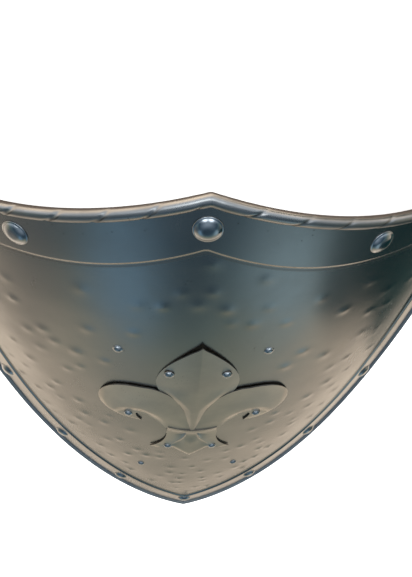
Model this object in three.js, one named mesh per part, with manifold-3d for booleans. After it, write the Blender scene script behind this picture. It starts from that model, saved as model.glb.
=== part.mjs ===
import * as THREE from 'three';
import { mergeVertices } from 'three/addons/utils/BufferGeometryUtils.js';
import Module from 'manifold-3d';

// A heater shield of sheet steel with an applied fleur-de-lis, lying face up on its two side rims.
// Everything is laid out on the face first: x across, y down from the top peak (so y is negative
// below it), and height out from the front of the sheet. The whole is then tilted to its rest.
// Millimetres throughout.

const wasm = await Module();
wasm.setup();

// ---- the sheet

const faceLength = 610; // top peak to point
const topHalfWidth = 234;
const sidePullUpper = [242, -239]; // the two handles of the side's cubic outline
const sidePullLower = [228, -429];
const sheetThickness = 1.6;
const sweepRadius = 375; // the face is bent across to this radius
const keelSlope = 0.035; // each half falls away from a soft keel
const keelRounding = 7;
const lengthwiseDome = 10;
const scallopSpan = 240; // one of the two hollow arcs of the top edge
const scallopCurve = [85, -65.6, 44, -61.2]; // its fall, by powers of the way across it
const scallopFade = 3; // how fast the arcs die out down the face
const sheetColumns = 18;
const sheetRows = 17;

// ---- the rolled edges

const sideRollRadius = 3;
const sideRollInset = 3;
const sideRollSink = 2.3; // roll centre behind the front of the sheet
const sideRollStart = 0.008; // just under the end of the top roll
const topRollRadius = 4.3;
const topRollDrop = 5.5; // roll centre below the line of the arcs
const topRollRise = 2.7; // roll centre in front of the sheet
const rollSegments = 4; // each gives two sides of the roll's section
const sideRollSteps = 17;
const topRollSteps = 8;

// ---- studs and rivets

const edgeInset = 27; // stud centres in from the side edge, along the sheet
const studPitch = 120;
const cornerStudDrop = 26; // corner stud below the arc of the top edge
const topStudX = 120.5;
const topStudDrop = 26.5;
const peakStudDrop = 27.5;
const pointStudY = -562;
const studRadius = 9.2;
const studHeight = 2.9;
const studShankRadius = 2.5;
const rivetRadius = 4.4;
const rivetHeight = 2.1;
const rivetShankRadius = 1.8;
const fitGap = 0.3;
const backGap = 0.7; // behind the sheet, whose flats lie a little off the true curve
const shankHoleSides = 6;
const fastenerSides = 8;

// ---- the fleur-de-lis, a pressed plate

const plateThickness = 1.3;
const plateClearance = 0.5; // between the face and the plate where they lie closest
const fleurLean = 0.0116; // radians, set on slightly askew
const fleurPivotY = -345;
const petalTipY = -136;
const petalNeckY = -287;
const petalHalfWidths = [0, 9.4, 18.4, 26, 31.6, 35, 36, 34, 28.4, 22, 16.8, 12.9, 10.2, 8.3, 6.7, 5.6];
const petalRidge = 4.9; // height of the middle petal's ridge above the face
const petalFall = 0.078; // slope of its two facets
const petalRoll = 6; // how far in its lower edges are rounded over
const petalFoot = 2.2; // height of those edges where they meet the side petals
const fleurRivets = [[23.8, -180], [62.7, -265], [23.7, -331]];

// ---- the carrying straps, behind the four rivets of the field

const strapThickness = 4;
const strapSteps = 18;
const strapSeat = 1.9; // slack between the sheet and the leather
const armStrap = { name: 'arm_strap', x: 60.3, shift: -2.3, y: -155.8, width: 36, drop: 56, bow: 46 };
const handStrap = { name: 'hand_strap', x: 57, shift: 0, y: -409.5, width: 28, drop: 43, bow: 42 };

// ---- how it lies

const restTilt = 0.14; // radians, the point lower than the top edge would have it
const restFlatDepth = 0.5; // worn flat where each rim meets the ground

// The front of the sheet, then any height out from it along its normal

function faceZ(x, y) {
  const sweep = sweepRadius - Math.sqrt(sweepRadius ** 2 - x * x);
  const keel = keelSlope * (Math.hypot(x, keelRounding) - keelRounding);
  const half = faceLength / 2;
  return -sweep - keel - lengthwiseDome * ((y + half) / half) ** 2;
}

function faceNormal(x, y) {
  const step = 0.5;
  const slopeX = (faceZ(x + step, y) - faceZ(x - step, y)) / (2 * step);
  const slopeY = (faceZ(x, y + step) - faceZ(x, y - step)) / (2 * step);
  return new THREE.Vector3(-slopeX, -slopeY, 1).normalize();
}

function onFace(x, y, height = 0) {
  return new THREE.Vector3(x, y, faceZ(x, y)).addScaledVector(faceNormal(x, y), height);
}

// The outline: two hollow arcs along the top, one cubic curve down each side

const sideCurve = new THREE.CubicBezierCurve(
  new THREE.Vector2(topHalfWidth, 0),
  new THREE.Vector2(...sidePullUpper),
  new THREE.Vector2(...sidePullLower),
  new THREE.Vector2(0, -faceLength),
);

function topArc(x) {
  const along = Math.abs(x) / scallopSpan;
  return -scallopCurve.reduce((fall, factor, i) => fall + factor * along ** (i + 1), 0);
}

// A point of the right-hand side edge, moved in along the sheet and out from its front
function sidePoint(t, inset, height) {
  const edge = sideCurve.getPoint(t);
  const tangent = sideCurve.getTangent(t);
  const y = edge.y + topArc(edge.x) * (1 - t) ** scallopFade;
  const normal = faceNormal(edge.x, y);
  const along = new THREE.Vector3(tangent.x, tangent.y, 0);
  const inward = new THREE.Vector3().crossVectors(along, normal).normalize();
  return onFace(edge.x, y, height).addScaledVector(inward, inset);
}

// Solids: closed geometry into the boolean library and back

function toSolid(geometry) {
  const bare = geometry.clone();
  bare.deleteAttribute('normal');
  bare.deleteAttribute('uv');
  const merged = mergeVertices(bare);
  const corners = merged.index.array;
  const kept = [];
  for (let i = 0; i < corners.length; i += 3) {
    const [a, b, c] = [corners[i], corners[i + 1], corners[i + 2]];
    if (a !== b && b !== c && c !== a) kept.push(a, b, c);
  }
  const mesh = new wasm.Mesh({
    numProp: 3,
    vertProperties: new Float32Array(merged.attributes.position.array),
    triVerts: new Uint32Array(kept),
  });
  return new wasm.Manifold(mesh);
}

function toGeometry(solid) {
  const mesh = solid.getMesh();
  const geometry = new THREE.BufferGeometry();
  geometry.setAttribute('position', new THREE.BufferAttribute(mesh.vertProperties, 3));
  geometry.setIndex(new THREE.BufferAttribute(mesh.triVerts, 1));
  geometry.computeVertexNormals();
  return geometry;
}

function joinAll(geometries) {
  return geometries.map(toSolid).reduce((whole, solid) => whole.add(solid));
}

// A slab of cells whose corners are placed by u (-1 to 1 across), v (0 to 1 down) and side (0 back, 1 front)
function slab(columns, rows, place) {
  const geometry = new THREE.BoxGeometry(2, 1, 1, columns, rows, 1);
  const corners = geometry.attributes.position;
  for (let i = 0; i < corners.count; i += 1) {
    const p = place(corners.getX(i), 0.5 - corners.getY(i), corners.getZ(i) + 0.5);
    corners.setXYZ(i, p.x, p.y, p.z);
  }
  return matchDiagonals(geometry, columns);
}

// Front and back of a cell, and its twin across the middle, are split along matching diagonals,
// so that the slab keeps its thickness and its balance
function matchDiagonals(geometry, columns) {
  const index = geometry.index;
  const [front, back] = geometry.groups.slice(4);
  for (const { start, count } of [front, back]) {
    for (let quad = 0; quad < count / 6; quad += 1) {
      if (quad % columns < columns / 2) {
        const first = start + quad * 6;
        const [a, b, d, c] = [0, 1, 2, 4].map((k) => index.getX(first + k));
        [a, b, c, a, c, d].forEach((corner, k) => index.setX(first + k, corner));
      }
    }
  }
  return geometry;
}

function rod(points, radius, steps) {
  const section = new THREE.Shape();
  section.absarc(0, 0, radius, 0, 2 * Math.PI, false);
  const extrudePath = new THREE.CatmullRomCurve3(points);
  return new THREE.ExtrudeGeometry(section, { steps, curveSegments: rollSegments, extrudePath });
}

function ball(centre, radius) {
  return new THREE.SphereGeometry(radius, 6, 5).translate(centre.x, centre.y, centre.z);
}

// The shell

function sheetGeometry() {
  return slab(sheetColumns, sheetRows, (u, v, side) => {
    const edge = sideCurve.getPoint(v);
    const x = u * edge.x;
    const y = edge.y + topArc(x) * (1 - v) ** scallopFade;
    return onFace(x, v === 0 ? y - topRollDrop : y, (side - 1) * sheetThickness);
  });
}

function sideRollPoints() {
  const stations = Array.from({ length: sheetRows + 1 }, (_, i) => i / sheetRows);
  stations[0] = sideRollStart;
  return stations.map((t) => sidePoint(t, sideRollInset, -sideRollSink));
}

function topRollPoints() {
  const stations = Array.from({ length: 13 }, (_, i) => (i / 12) * (topHalfWidth - sideRollRadius));
  return stations.map((x) => onFace(x, topArc(x) - topRollDrop, topRollRise));
}

function mirrored(points) {
  return points.map((p) => new THREE.Vector3(-p.x, p.y, p.z));
}

function tilted(p) {
  return p.clone().applyAxisAngle(new THREE.Vector3(1, 0, 0), restTilt);
}

const rimPoints = sideRollPoints();
const groundZ = Math.min(...rimPoints.map((p) => tilted(p).z)) - sideRollRadius + restFlatDepth;

function groundBlock() {
  const depth = 40;
  const block = new THREE.BoxGeometry(3 * faceLength, 3 * faceLength, depth);
  block.translate(0, 0, groundZ - depth / 2);
  return block.rotateX(-restTilt);
}

// A round bar along the face's normal at (x, y), used to drill for a shank
function drill(x, y, radius) {
  const length = 40;
  const corner = radius / Math.cos(Math.PI / shankHoleSides); // its flats clear the shank too
  const bar = new THREE.CylinderGeometry(corner, corner, length, shankHoleSides).rotateX(Math.PI / 2);
  const turn = new THREE.Quaternion().setFromUnitVectors(new THREE.Vector3(0, 0, 1), faceNormal(x, y));
  const at = onFace(x, y);
  return bar.applyQuaternion(turn).translate(at.x, at.y, at.z);
}

function shellSolid(shanks) {
  const topPoints = topRollPoints();
  const parts = [
    sheetGeometry(),
    rod(rimPoints, sideRollRadius, sideRollSteps),
    rod(mirrored(rimPoints), sideRollRadius, sideRollSteps),
    ball(rimPoints.at(-1), sideRollRadius),
    rod(topPoints, topRollRadius, topRollSteps),
    rod(mirrored(topPoints), topRollRadius, topRollSteps),
    ball(topPoints[0], topRollRadius),
    ball(topPoints.at(-1), topRollRadius),
    ball(mirrored(topPoints).at(-1), topRollRadius),
  ];
  const whole = joinAll(parts).subtract(toSolid(groundBlock()));
  return shanks.reduce((solid, shank) => solid.subtract(toSolid(shank)), whole);
}

// The fleur-de-lis is drawn upright, then leaned about its foot

function onFleur(x, y, height) {
  const turned = new THREE.Vector2(x, y).rotateAround(new THREE.Vector2(0, fleurPivotY), -fleurLean);
  return onFace(turned.x, turned.y, height);
}

// One pressed piece of the plate: shape(u, v) gives x, y and the height of its outer face
function pressing(columns, rows, shape) {
  return slab(columns, rows, (u, v, side) => {
    const { x, y, height } = shape(u, v);
    const under = Math.max(plateClearance, height - plateThickness);
    return onFleur(x, y, side > 0.5 ? height : under);
  });
}

function smooth(low, high, value) {
  return THREE.MathUtils.smoothstep(value, low, high);
}

const petalCurve = new THREE.SplineCurve(
  petalHalfWidths.map((w, i) => new THREE.Vector2(w, i / (petalHalfWidths.length - 1))),
);

// Two flat facets that meet in a ridge; lower down the ridge softens and the edges are rounded over
function middlePetal(u, v) {
  const halfWidth = petalCurve.getPoint(v).x;
  const across = Math.abs(u);
  const softened = 1 - 0.6 * smooth(0.6, 0.85, v);
  const facet = petalRidge - petalFall * softened * across * halfWidth;
  const fromEdge = Math.min(1, ((1 - across) * halfWidth) / petalRoll);
  const rounded = THREE.MathUtils.lerp(petalFoot, facet, Math.sin((Math.PI / 2) * fromEdge));
  return {
    x: u * halfWidth,
    y: THREE.MathUtils.lerp(petalTipY, petalNeckY, v),
    height: THREE.MathUtils.lerp(facet, rounded, smooth(0.38, 0.55, v)),
  };
}

// A side petal is ruled between its outer edge, which turns round into the hook, and its inner edge.
// Its dished body rolls down to a flange along a line that runs from the collar to the hook.
const petalOuter = [[4, -262], [19, -224], [34.7, -210.5], [49, -208.5], [63, -209], [76, -214], [86, -226],
  [90.4, -240.5], [88.4, -255.5], [80.3, -267.5], [68, -275], [51, -277]];
const petalInner = [[3, -289], [24.5, -283.5], [33, -272.5], [40.5, -266.5], [46.5, -262.8], [51, -261.2],
  [54, -261.2], [55.5, -262.5], [56.2, -265], [55.6, -268], [54, -272], [50.6, -277]];
const rollShare = [0.8, 0.78, 0.77, 0.74, 0.7, 0.7, 0.66, 0.56, 0.4, 0.2, 0.12, 0.1];

function splineThrough(pairs) {
  return new THREE.CatmullRomCurve3(pairs.map(([x, y]) => new THREE.Vector3(x, y, 0)));
}

const outerCurve = splineThrough(petalOuter);
const innerCurve = splineThrough(petalInner);
const rollCurve = splineThrough(rollShare.map((share) => [share, 0]));

// across runs from 0 at the outer edge to 1 at the inner edge; the first half of it is the dished body
function sidePetal(across, v) {
  const outer = outerCurve.getPoint(v);
  const inner = innerCurve.getPoint(v);
  const roll = rollCurve.getPoint(v).x;
  const onBody = across <= 0.5;
  const share = onBody ? across * 2 * roll : roll + (across * 2 - 1) * (1 - roll);
  const p = outer.lerp(inner, share);
  const rim = THREE.MathUtils.lerp(3.4, 2, smooth(0.5, 0.66, v));
  const dish = THREE.MathUtils.lerp(rim, 3.3, smooth(0.2, 0.5, across));
  const flange = THREE.MathUtils.lerp(3.3, 1.9, smooth(0.5, 0.62, across));
  return { x: p.x, y: p.y, height: onBody ? dish : flange };
}

// The collar: hollow along its top edge, which has a rounded lip, and wider at its foot
function collar(u, v) {
  const across = Math.abs(u);
  const halfWidth = THREE.MathUtils.lerp(23.5, 26.5, v);
  const top = -283.5 + 6 * u * u;
  const bottom = -299 + 5 * u * u;
  const lip = 1.1 * Math.exp(-(((v - 0.25) / 0.2) ** 2));
  return {
    x: u * halfWidth,
    y: THREE.MathUtils.lerp(top, bottom, v),
    height: 4 + lip - 1.3 * smooth(0.3, 0.8, v) - 0.3 * across,
  };
}

// The foot: a middle blade with a ridge, and a tail swept out each side of it
const footEdge = splineThrough([[0, -357.5], [6.5, -350.5], [12.5, -344], [19.5, -337], [27, -337.5],
  [35, -341], [43.5, -339.3]]);

function foot(u, v) {
  const across = Math.abs(u);
  const edge = footEdge.getPoint(across);
  const startX = across * 25.5;
  const startY = -296 + 3 * across * across;
  const ribAt = THREE.MathUtils.clamp(1.6 * across - 0.38, 0, 1);
  const beforeRib = v < ribAt ? v / ribAt : 0;
  const afterRib = v > ribAt ? (v - ribAt) / (1 - ribAt) : 0;
  const ridge = 0.8 * Math.max(0, 1 - across / 0.4);
  return {
    x: Math.sign(u) * THREE.MathUtils.lerp(startX, edge.x, v ** 2.8),
    y: THREE.MathUtils.lerp(startY, edge.y, v),
    height: 2.3 + 1.4 * Math.max(beforeRib, afterRib) + ridge,
  };
}

function fleurSolid(shanks) {
  const parts = [
    pressing(6, 11, middlePetal),
    pressing(6, 11, (u, v) => sidePetal(0.5 - u / 2, v)),
    pressing(6, 11, (u, v) => {
      const petal = sidePetal(0.5 + u / 2, v);
      return { ...petal, x: -petal.x };
    }),
    pressing(4, 4, collar),
    pressing(12, 3, foot),
  ];
  return shanks.reduce((solid, shank) => solid.subtract(toSolid(shank)), joinAll(parts));
}

// Straps: flat leather, a tab under each rivet and a bow between them

function strapGeometry(strap) {
  const seat = -sheetThickness - strapSeat - strapThickness / 2;
  const { x, y, shift, bow, drop } = strap;
  const centreZ = onFace(0, y, seat).z;
  const halfPath = (side) => [
    ...[15, 5, -5].map((beyond) => onFace(side * (x + beyond) + shift, y, seat)),
    onFace(side * (x - 11) + shift, y, seat - 2.5),
    new THREE.Vector3(side * (bow - 2) + shift, y, centreZ - 0.42 * drop),
    new THREE.Vector3(side * bow * 0.62 + shift, y, centreZ - 0.86 * drop),
  ];
  const bottom = new THREE.Vector3(shift, y, centreZ - drop);
  const path = [...halfPath(1), bottom, ...halfPath(-1).reverse()];
  const section = new THREE.Shape();
  section.moveTo(-strap.width / 2, -strapThickness / 2);
  section.lineTo(strap.width / 2, -strapThickness / 2);
  section.lineTo(strap.width / 2, strapThickness / 2);
  section.lineTo(-strap.width / 2, strapThickness / 2);
  const extrudePath = new THREE.CatmullRomCurve3(path);
  return new THREE.ExtrudeGeometry(section, { steps: strapSteps, curveSegments: 1, extrudePath });
}

// Headed fasteners: a domed head in front, a shank through the work, a hammered head behind

function headProfile(radius, height, shank, seat, grip) {
  const backRadius = shank * 1.75;
  return [
    [0, seat + height],
    [radius * 0.7, seat + height * 0.72],
    [radius, seat],
    [shank, seat],
    [shank, -grip],
    [backRadius, -grip],
    [backRadius * 0.7, -grip - shank * 0.6],
    [0, -grip - shank * 0.75],
  ].map(([x, y]) => new THREE.Vector2(x, y));
}

function fastener(name, x, y, profile, material) {
  const geometry = new THREE.LatheGeometry([...profile].reverse(), fastenerSides).rotateX(Math.PI / 2);
  const mesh = new THREE.Mesh(geometry, material);
  mesh.name = name;
  mesh.position.copy(onFace(x, y));
  mesh.quaternion.setFromUnitVectors(new THREE.Vector3(0, 0, 1), faceNormal(x, y));
  return mesh;
}

// Where each fastener goes

function sideStudPlaces() {
  const samples = Array.from({ length: 401 }, (_, i) => sidePoint(i / 400, edgeInset, 0));
  const startX = samples.find((p) => p.y < topArc(p.x) - cornerStudDrop);
  const places = [];
  let travelled = 0;
  let previous = startX;
  for (const p of samples.slice(samples.indexOf(startX))) {
    travelled += p.distanceTo(previous);
    previous = p;
    if (travelled >= places.length * studPitch && places.length < 5) places.push([p.x, p.y]);
  }
  return places;
}

const studPlaces = [
  ['peak', 0, -peakStudDrop],
  ['point', 0, pointStudY],
];
const sideNames = ['corner', 'side_a', 'side_b', 'side_c', 'side_d'];
const onBothSides = [['top', topStudX, topArc(topStudX) - topStudDrop]];
sideStudPlaces().forEach(([x, y], i) => onBothSides.push([sideNames[i], x, y]));
for (const [name, x, y] of onBothSides) {
  studPlaces.push([`${name}_right`, x, y], [`${name}_left`, -x, y]);
}

const strapRivetPlaces = [];
for (const strap of [armStrap, handStrap]) {
  strapRivetPlaces.push([`${strap.name}_rivet_right`, strap.x + strap.shift, strap.y]);
  strapRivetPlaces.push([`${strap.name}_rivet_left`, -strap.x + strap.shift, strap.y]);
}

const fleurRivetNames = ['petal', 'hook', 'foot'];
const fleurRivetPlaces = fleurRivets.flatMap(([x, y], i) => [1, -1].map((side) => {
  const p = onFleur(side * x, y, 0);
  return [`fleur_${fleurRivetNames[i]}_rivet_${side > 0 ? 'right' : 'left'}`, p.x, p.y];
}));

// Materials

function steel(color, roughness) {
  return new THREE.MeshStandardMaterial({ color, roughness, metalness: 1 });
}

const sheetSteel = steel('#7d8588', 0.32);
const plateSteel = steel('#8b887f', 0.34);
const headSteel = steel('#b4bcc0', 0.22);
const strapLeather = new THREE.MeshStandardMaterial({ color: '#5a3a22', roughness: 0.7, metalness: 0 });

// Assembly

const shield = new THREE.Group();

function place(name, solid, material) {
  const mesh = new THREE.Mesh(toGeometry(solid), material);
  mesh.name = name;
  shield.add(mesh);
  return mesh;
}

const studShanks = studPlaces.map(([, x, y]) => drill(x, y, studShankRadius + fitGap));
const strapShanks = strapRivetPlaces.map(([, x, y]) => drill(x, y, rivetShankRadius + fitGap));
const fleurShanks = fleurRivetPlaces.map(([, x, y]) => drill(x, y, rivetShankRadius + fitGap));

place('shell', shellSolid([...studShanks, ...strapShanks, ...fleurShanks]), sheetSteel);
const fleur = place('fleur_de_lis', fleurSolid(fleurShanks), plateSteel);

for (const strap of [armStrap, handStrap]) {
  const shanks = strapShanks.filter((_, i) => strapRivetPlaces[i][0].startsWith(strap.name));
  const solid = shanks.reduce((cut, shank) => cut.subtract(toSolid(shank)), toSolid(strapGeometry(strap)));
  place(strap.name, solid, strapLeather);
}

for (const [name, x, y] of studPlaces) {
  const profile = headProfile(studRadius, studHeight, studShankRadius, fitGap, sheetThickness + backGap);
  shield.add(fastener(`stud_${name}`, x, y, profile, headSteel));
}

for (const [name, x, y] of strapRivetPlaces) {
  const grip = sheetThickness + strapSeat + strapThickness + 2 * fitGap;
  const profile = headProfile(rivetRadius, rivetHeight, rivetShankRadius, fitGap, grip);
  shield.add(fastener(name, x, y, profile, headSteel));
}

// The height of the plate under a rivet head, the highest of a ring of soundings
function plateHeight(x, y) {
  const normal = faceNormal(x, y);
  const from = onFace(x, y, 20);
  const across = new THREE.Vector3(0, 1, 0).cross(normal).normalize();
  const along = new THREE.Vector3().crossVectors(normal, across);
  const heights = Array.from({ length: 12 }, (_, i) => {
    const angle = (i / 6) * Math.PI;
    const reach = i % 2 ? rivetRadius : rivetRadius * 0.6;
    const start = from.clone().addScaledVector(across, reach * Math.cos(angle));
    start.addScaledVector(along, reach * Math.sin(angle));
    const hit = new THREE.Raycaster(start, normal.clone().negate()).intersectObject(fleur)[0];
    return hit ? 20 - hit.distance : 0;
  });
  return Math.max(...heights);
}

for (const [name, x, y] of fleurRivetPlaces) {
  const seat = plateHeight(x, y) + fitGap;
  const profile = headProfile(rivetRadius, rivetHeight, rivetShankRadius, seat, sheetThickness + backGap);
  shield.add(fastener(name, x, y, profile, headSteel));
}

// Laid to rest on the ground, with the middle of its footprint over the origin
shield.rotation.x = restTilt;
shield.updateMatrixWorld(true);
const bounds = new THREE.Box3().setFromObject(shield, true);
shield.position.set(0, -(bounds.min.y + bounds.max.y) / 2, -groundZ);

const group = new THREE.Group();
group.add(shield);

export default group;
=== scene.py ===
import math
import random

import bmesh
import bpy
from mathutils import Matrix, Vector, kdtree, noise


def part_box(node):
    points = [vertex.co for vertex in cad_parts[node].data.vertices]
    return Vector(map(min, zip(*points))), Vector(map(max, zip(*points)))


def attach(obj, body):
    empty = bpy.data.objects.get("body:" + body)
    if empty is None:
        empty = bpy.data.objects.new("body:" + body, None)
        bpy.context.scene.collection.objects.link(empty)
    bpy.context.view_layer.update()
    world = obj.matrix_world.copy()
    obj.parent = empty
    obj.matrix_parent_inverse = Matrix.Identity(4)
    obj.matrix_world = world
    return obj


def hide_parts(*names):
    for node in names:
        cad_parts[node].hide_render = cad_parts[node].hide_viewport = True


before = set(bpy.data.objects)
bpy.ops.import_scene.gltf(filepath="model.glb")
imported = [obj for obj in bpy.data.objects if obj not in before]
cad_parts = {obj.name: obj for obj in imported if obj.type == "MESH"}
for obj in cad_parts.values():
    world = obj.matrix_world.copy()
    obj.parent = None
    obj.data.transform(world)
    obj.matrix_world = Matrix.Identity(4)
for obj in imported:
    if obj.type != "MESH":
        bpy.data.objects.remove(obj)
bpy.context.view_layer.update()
print("frame loaded")

# A steel heater shield, face up. It is laid out on its face in millimetres: x across,
# y up, with the top peak at 0 and the point at the far minus end, z out of the front.
# toRest tips it to its rest, in metres.

rest = dict(tilt=0.14, y=299.191, z=118.734)  # as the CAD model lies
toRest = (
    Matrix.Scale(0.001, 4)
    @ Matrix.Translation((0, rest["y"], rest["z"]))
    @ Matrix.Rotation(rest["tilt"], 4, "X")
)


# The camera

cameraSettings = dict(
    place=(-18.1007, 136.4185, 179.1297),  # above the top edge, on the face's own axes
    turn=(-0.858117511, -0.0334140594, 0.0645189519),
    lens=26.779,
)


def makeCamera(settings):
    data = bpy.data.cameras.new("camera")
    data.lens = settings["lens"]
    data.sensor_width = 36
    data.clip_start = 0.01
    data.clip_end = 60
    data.dof.use_dof = False
    camera = bpy.data.objects.new("camera", data)
    bpy.context.scene.collection.objects.link(camera)
    a, b, c = settings["turn"]
    turn = Matrix.Rotation(c, 4, "Z") @ Matrix.Rotation(b, 4, "Y") @ Matrix.Rotation(a, 4, "X")
    place = toRest @ Vector(settings["place"])
    camera.matrix_world = Matrix.Translation(place) @ Matrix.Rotation(rest["tilt"], 4, "X") @ turn
    bpy.context.scene.camera = camera


makeCamera(cameraSettings)
print("camera set")


# The shape of the face, the same as the CAD's

face = dict(
    length=610,
    sweepRadius=375,
    keelSlope=0.035,
    keelRounding=7,
    dome=10,
    scallopSpan=240,
    scallop=(85, -65.6, 44, -61.2),
    thickness=1.6,
    side=[(234, 0), (242, -239), (228, -429), (0, -610)],
)


def faceZ(x, y):
    sweep = face["sweepRadius"] - math.sqrt(face["sweepRadius"] ** 2 - x * x)
    keel = face["keelSlope"] * (math.hypot(x, face["keelRounding"]) - face["keelRounding"])
    half = face["length"] / 2
    return -sweep - keel - face["dome"] * ((y + half) / half) ** 2


def faceNormal(x, y):
    slopeX = faceZ(x + 0.5, y) - faceZ(x - 0.5, y)
    slopeY = faceZ(x, y + 0.5) - faceZ(x, y - 0.5)
    return Vector((-slopeX, -slopeY, 1)).normalized()


def onFace(x, y, height=0.0):
    return Vector((x, y, faceZ(x, y))) + faceNormal(x, y) * height


def topArc(x):
    along = x / face["scallopSpan"]
    return -sum(factor * along ** (i + 1) for i, factor in enumerate(face["scallop"]))


def sideEdge(t):
    a, b, c, d = (Vector(p) for p in face["side"])
    s = 1 - t
    point = a * s**3 + b * 3 * s * s * t + c * 3 * s * t * t + d * t**3
    along = (b - a) * s * s + (c - b) * 2 * s * t + (d - c) * t * t
    return point, along.normalized()


# A point by the right-hand edge, moved in along the sheet and out from its front
def sidePoint(t, inset, height):
    edge, along = sideEdge(t)
    y = edge.y + topArc(edge.x) * (1 - t) ** 3 if t < 1 else edge.y
    inward = Vector((along.x, along.y, 0)).cross(faceNormal(edge.x, y)).normalized()
    return onFace(edge.x, y, height) + inward * inset


def smooth(low, high, value):
    t = min(max((value - low) / (high - low), 0), 1)
    return t * t * (3 - 2 * t)


def mix(a, b, t):
    return a + (b - a) * t


# A smooth curve through points, t from 0 to 1
def through(points, t):
    last = len(points) - 1
    at = min(max(t, 0), 1) * last
    i = min(int(at), last - 1)
    f = at - i
    p, q, r, s = (Vector(points[min(max(k, 0), last)]) for k in (i - 1, i, i + 1, i + 2))
    squared = (p * 2 - q * 5 + r * 4 - s) * f**2
    cubed = (q * 3 - p - r * 3 + s) * f**3
    return 0.5 * (q * 2 + (r - p) * f + squared + cubed)


# Making objects

# A grid whose corners are placed by column and row number
def gridMesh(columns, rows, place):
    bm = bmesh.new()
    bmesh.ops.create_grid(bm, x_segments=columns, y_segments=rows, size=0.5)
    for v in bm.verts:
        v.co = place(round((v.co.x + 0.5) * columns), round((v.co.y + 0.5) * rows))
    return bm


def joined(parts):
    whole = bmesh.new()
    for part in parts:
        carried = bpy.data.meshes.new("part")
        part.to_mesh(carried)
        whole.from_mesh(carried)
        bpy.data.meshes.remove(carried)
        part.free()
    return whole


def finishPiece(bm, name, material, nodes, sharp=40, cutEdge=None):
    bm.transform(toRest)
    for v in bm.verts:
        v.co.z = max(v.co.z, 0)  # nothing reaches below the ground
    mesh = bpy.data.meshes.new(name)
    bm.to_mesh(mesh)
    bm.free()
    mesh.materials.append(material)
    if cutEdge:
        mesh.materials.append(cutEdge)
    mesh.shade_smooth()
    mesh.set_sharp_from_angle(angle=math.radians(sharp))
    obj = bpy.data.objects.new(name, mesh)
    bpy.context.scene.collection.objects.link(obj)
    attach(obj, "root")
    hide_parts(*nodes)


# Materials

def newGroup(name, inputs, outputs):
    group = bpy.data.node_groups.new(name, "ShaderNodeTree")
    for title, value in inputs.items():
        socket = group.interface.new_socket(title, in_out="INPUT", socket_type="NodeSocketFloat")
        socket.default_value = value
    for title in outputs:
        group.interface.new_socket(title, in_out="OUTPUT", socket_type="NodeSocketFloat")
    return group, group.nodes.new("NodeGroupInput"), group.nodes.new("NodeGroupOutput")


def addNode(tree, kind, inputs=None, **settings):
    node = tree.nodes.new(kind)
    for key, value in settings.items():
        setattr(node, key, value)
    for key, value in (inputs or {}).items():
        if isinstance(value, bpy.types.NodeSocket):
            tree.links.new(value, node.inputs[key])
        else:
            node.inputs[key].default_value = value
    return node


def maths(tree, operation, a, b=0.0, clamp=False):
    return addNode(tree, "ShaderNodeMath", {0: a, 1: b}, operation=operation, use_clamp=clamp).outputs[0]


# Colours may be given as three numbers or linked
def mixedColour(tree, factor, a, b):
    a, b = ((*c, 1) if isinstance(c, tuple) else c for c in (a, b))
    inputs = {"Factor": factor, 6: a, 7: b}
    return addNode(tree, "ShaderNodeMix", inputs, data_type="RGBA").outputs[2]


def ranged(tree, value, low, high, toLow=0.0, toHigh=1.0):
    inputs = {"Value": value, "From Min": low, "From Max": high, "To Min": toLow, "To Max": toHigh}
    return addNode(tree, "ShaderNodeMapRange", inputs, interpolation_type="SMOOTHSTEP").outputs[0]


# Rubbed and handled steel: cloudy patches, fine grain one way, hairline scratches, pin specks
def makeHandledSteel():
    inputs = dict(Cloud=9.0, Grain=900.0, Scratch=60.0, Speck=260.0)
    group, given, out = newGroup("handled steel", inputs, ["Cloud", "Grain", "Scratch", "Speck", "Height"])
    place = addNode(group, "ShaderNodeTexCoord").outputs["Object"]

    def clouds(vector, scale, detail, **more):
        inputs = {"Vector": vector, "Scale": scale, "Detail": detail, **more}
        return addNode(group, "ShaderNodeTexNoise", inputs).outputs["Fac"]

    def drawnOut(turn, share):
        inputs = {"Vector": place, "Rotation": (0, 0, turn), "Scale": (1, share, 1)}
        return addNode(group, "ShaderNodeMapping", inputs).outputs[0]

    cloud = clouds(place, given.outputs["Cloud"], 5.0, Roughness=0.6)
    cloudMask = ranged(group, cloud, 0.3, 0.7)
    grain = clouds(drawnOut(0.5, 0.08), given.outputs["Grain"], 2.0)
    lines = []
    for turn in (0.35, 1.2, 2.3):
        wave = clouds(drawnOut(turn, 0.05), given.outputs["Scratch"], 1.0)
        distance = maths(group, "ABSOLUTE", maths(group, "SUBTRACT", wave, 0.5))
        lines.append(ranged(group, distance, 0.0, 0.004, 1.0, 0.0))
    scratch = maths(group, "MAXIMUM", maths(group, "MAXIMUM", lines[0], lines[1]), lines[2])
    patchy = clouds(place, 28.0, 2.0)
    scratch = maths(group, "MULTIPLY", scratch, ranged(group, patchy, 0.52, 0.7))
    cells = addNode(group, "ShaderNodeTexVoronoi", {"Vector": place, "Scale": given.outputs["Speck"]})
    specks = ranged(group, cells.outputs["Distance"], 0.08, 0.16, 1.0, 0.0)
    speck = maths(group, "MULTIPLY", specks, ranged(group, patchy, 0.56, 0.66))
    raised = maths(group, "MULTIPLY", grain, 0.12)
    sunk = maths(group, "ADD", maths(group, "MULTIPLY", scratch, 0.4), speck)
    height = maths(group, "SUBTRACT", raised, sunk)
    results = dict(Cloud=cloudMask, Grain=grain, Scratch=scratch, Speck=speck, Height=height)
    for title, value in results.items():
        group.links.new(value, out.inputs[title])
    return group


handledSteel = makeHandledSteel()


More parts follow.
